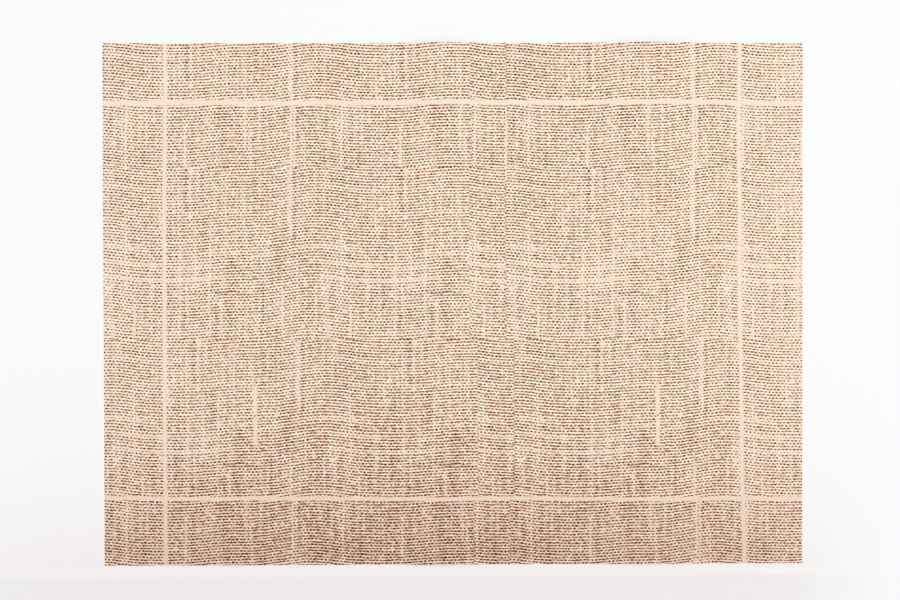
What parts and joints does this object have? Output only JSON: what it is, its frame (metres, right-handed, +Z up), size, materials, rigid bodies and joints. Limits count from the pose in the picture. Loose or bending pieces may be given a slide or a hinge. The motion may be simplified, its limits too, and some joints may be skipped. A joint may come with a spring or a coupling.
{
  "type": "paper placemat",
  "caption": "Thin rectangular paper placemat printed edge to edge with an open sackcloth weave, lying on a table in low swells; it goes under a plate and is thrown away after use.",
  "frame": {"origin": "on the table, under the middle of the sheet", "axes": "+X along the long side, towards the right of the print; +Y towards the back edge, where the swells are highest; +Z up, out of the printed face"},
  "size_m": [0.4, 0.2986, 0.0033],
  "materials": {
    "printed_paper": "matte"
  },
  "bodies": {
    "root": {"placemat_sheet": "printed_paper"}
  },
  "joints": []
}
